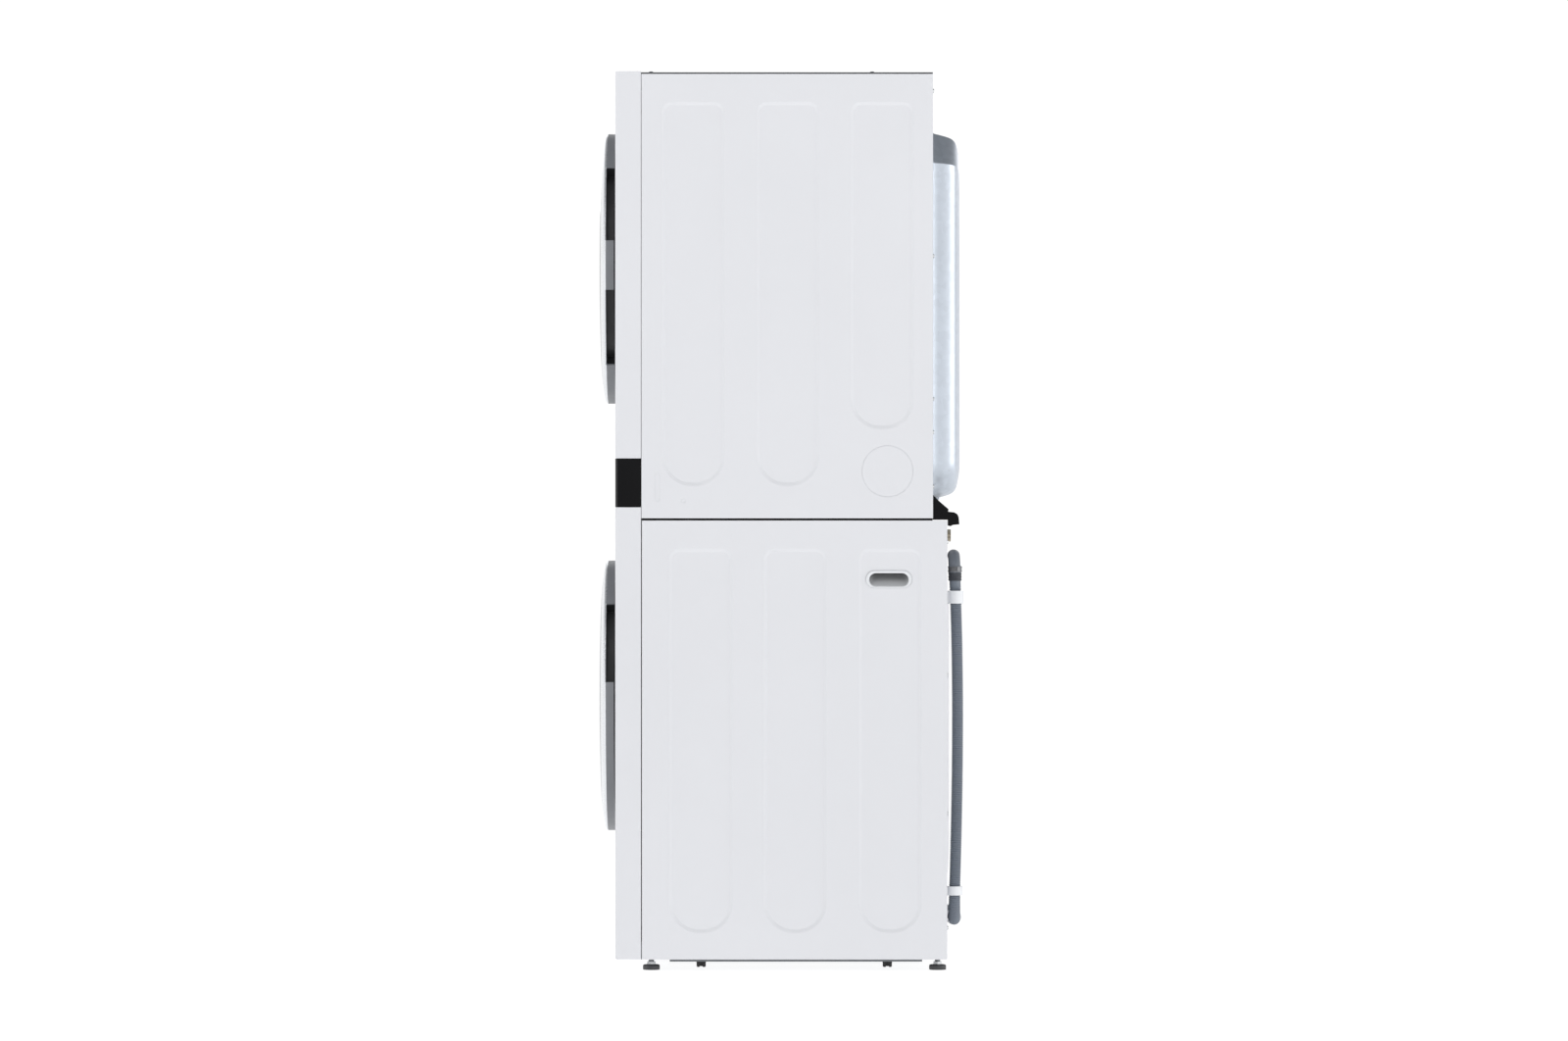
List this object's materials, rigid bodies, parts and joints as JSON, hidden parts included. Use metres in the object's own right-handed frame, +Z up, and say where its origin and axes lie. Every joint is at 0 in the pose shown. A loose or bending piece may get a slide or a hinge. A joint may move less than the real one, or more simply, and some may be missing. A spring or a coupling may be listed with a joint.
{
  "type": "washer dryer stack",
  "caption": "One-piece laundry tower: front-loading washer below, vented dryer above, shared control panel between, round hinged doors, drain hose clipped at the back.",
  "frame": {"origin": "centre of the footprint on the floor", "axes": "+X to the right of the machine, front faces -Y, +Z up"},
  "size_m": [0.686, 0.7718, 1.889],
  "materials": {
    "white_paint": "smooth gloss enamel on sheet steel",
    "dark_rail": "satin black coat",
    "galvanised": "zinc coated sheet, faint spangle",
    "lid_steel": "dull grey zinc sheet",
    "panel_black": "fine texture",
    "panel_glass": "polished black",
    "door_grey": "satin moulded",
    "door_silver": "satin chrome",
    "door_smoke": "smoked, polished",
    "bowl_glass": "clear pressed glass",
    "liner_grey": "satin",
    "stainless": "brushed, perforated in use",
    "cast_alu": "as cast",
    "tub_plastic": "natural polypropylene",
    "concrete": "cast",
    "copper_core": "varnished windings on a steel core",
    "dark_metal": "black coat",
    "grey_rubber": "matte",
    "black_rubber": "matte",
    "spring_steel": "oiled",
    "grey_plastic": "satin",
    "hose_grey": "corrugated polypropylene",
    "clip_white": "nylon",
    "white_plastic": "satin",
    "brass_valve": "turned nipple",
    "zinc_screw": "zinc plated",
    "foot_dark": "moulded pad on a zinc stem"
  },
  "bodies": {
    "cabinet": {"base_bumpers": "black_rubber", "base_frame": "dark_rail", "blower_housing": "grey_plastic", "control_glass": "panel_glass", "control_housing": "panel_black", "cord_terminal_cover": "galvanised", "cover_screws": "zinc_screw", "damper_cylinders": "grey_plastic", "dispenser_housing": "grey_plastic", "door_gasket": "grey_rubber", "door_locks": "grey_plastic", "drain_hose": "hose_grey", "drain_pump": "grey_plastic", "drum_belt": "black_rubber", "dryer_back_panel": "galvanised", "dryer_base_tray": "dark_rail", "dryer_front_bulkhead": "galvanised", "dryer_front_panel": "white_paint", "dryer_motor": "dark_metal", "dryer_rear_cover": "galvanised", "dryer_side_left": "white_paint", "dryer_side_right": "white_paint", "dryer_top_plate": "lid_steel", "exhaust_duct": "galvanised", "grip_cups": "white_plastic", "heater_box": "galvanised", "hinge_brackets": "zinc_screw", "hose_clips": "clip_white", "hose_cuffs": "grey_rubber", "inlet_valves": "brass_valve", "rear_hose_hook": "panel_black", "suspension_springs": "spring_steel", "washer_back_panel": "white_paint", "washer_front_panel": "white_paint", "washer_side_left": "white_paint", "washer_side_right": "white_paint"},
    "tub": {"tub_shell": "tub_plastic", "counterweights": "concrete", "motor_stator": "copper_core", "damper_rods": "spring_steel"},
    "washer_drum": {"washer_drum": "stainless", "drum_spider": "cast_alu", "motor_rotor": "dark_metal"},
    "dryer_drum": {"dryer_drum": "stainless"},
    "rollers_left": {"drum_rollers_left": "black_rubber"},
    "rollers_right": {"drum_rollers_right": "black_rubber"},
    "blower": {"blower_wheel": "white_plastic"},
    "washer_door": {"washer_door_frame": "door_grey", "washer_door_ring": "door_silver", "washer_door_glass": "door_smoke", "washer_door_bowl": "bowl_glass"},
    "dryer_door": {"dryer_door_frame": "door_grey", "dryer_door_ring": "door_silver", "dryer_door_glass": "door_smoke", "dryer_door_inner_panel": "liner_grey"},
    "lint_filter": {"lint_filter": "grey_plastic"},
    "dispenser_drawer": {"dispenser_drawer": "white_plastic"},
    "filter_flap": {"filter_flap": "white_plastic"},
    "pump_filter": {"pump_filter": "grey_plastic"},
    "leveling_feet": {"leveling_feet": "foot_dark"}
  },
  "joints": [
    {"name": "washer_door_hinge", "type": "hinge", "parent": "cabinet", "child": "washer_door", "pos_m": [-0.284, -0.3575, 0.571], "axis": [0, 0, -1], "range_deg": [0, 120]},
    {"name": "dryer_door_hinge", "type": "hinge", "parent": "cabinet", "child": "dryer_door", "pos_m": [-0.284, -0.3575, 1.482], "axis": [0, 0, -1], "range_deg": [0, 120]},
    {"name": "tub_float", "type": "slide", "parent": "cabinet", "child": "tub", "axis": [0, 0, 1], "range_m": [-0.01, 0.01], "stiffness_N_per_m": 40000, "springref_m": 0.0159, "deforming": ["door_gasket", "suspension_springs"]},
    {"name": "washer_drum_spin", "type": "hinge", "parent": "tub", "child": "washer_drum", "pos_m": [0, 0, 0.571], "axis": [0, 1, 0], "continuous": true},
    {"name": "dryer_drum_spin", "type": "hinge", "parent": "cabinet", "child": "dryer_drum", "pos_m": [0, 0, 1.482], "axis": [0, 1, 0], "continuous": true},
    {"name": "rollers_left_spin", "type": "hinge", "parent": "cabinet", "child": "rollers_left", "pos_m": [-0.1523, 0, 1.15547], "axis": [0, 1, 0], "continuous": true},
    {"name": "rollers_right_spin", "type": "hinge", "parent": "cabinet", "child": "rollers_right", "pos_m": [0.1523, 0, 1.15547], "axis": [0, 1, 0], "continuous": true},
    {"name": "blower_spin", "type": "hinge", "parent": "cabinet", "child": "blower", "pos_m": [0.12, 0, 1.045], "axis": [0, 1, 0], "continuous": true},
    {"name": "detergent_drawer_slide", "type": "slide", "parent": "cabinet", "child": "dispenser_drawer", "axis": [0, -1, 0], "range_m": [0, 0.19]},
    {"name": "filter_flap_hinge", "type": "hinge", "parent": "cabinet", "child": "filter_flap", "pos_m": [-0.24, -0.3448, 0.0682], "axis": [1, 0, 0], "range_deg": [0, 90]},
    {"name": "pump_filter_turn", "type": "hinge", "parent": "cabinet", "child": "pump_filter", "pos_m": [-0.24, -0.3, 0.131], "axis": [0, -1, 0], "range_deg": [0, 90]},
    {"name": "lint_filter_slide", "type": "slide", "parent": "cabinet", "child": "lint_filter", "axis": [0, 0, 1], "range_m": [0, 0.15]},
    {"name": "feet_height_adjust", "type": "slide", "parent": "cabinet", "child": "leveling_feet", "axis": [0, 0, -1], "range_m": [0, 0.012]}
  ],
  "couplings": [
    {"joint": "rollers_left_spin", "follows": "dryer_drum_spin", "ratio": -9.2857},
    {"joint": "rollers_right_spin", "follows": "dryer_drum_spin", "ratio": -9.2857},
    {"joint": "blower_spin", "follows": "dryer_drum_spin", "ratio": 28.26}
  ]
}
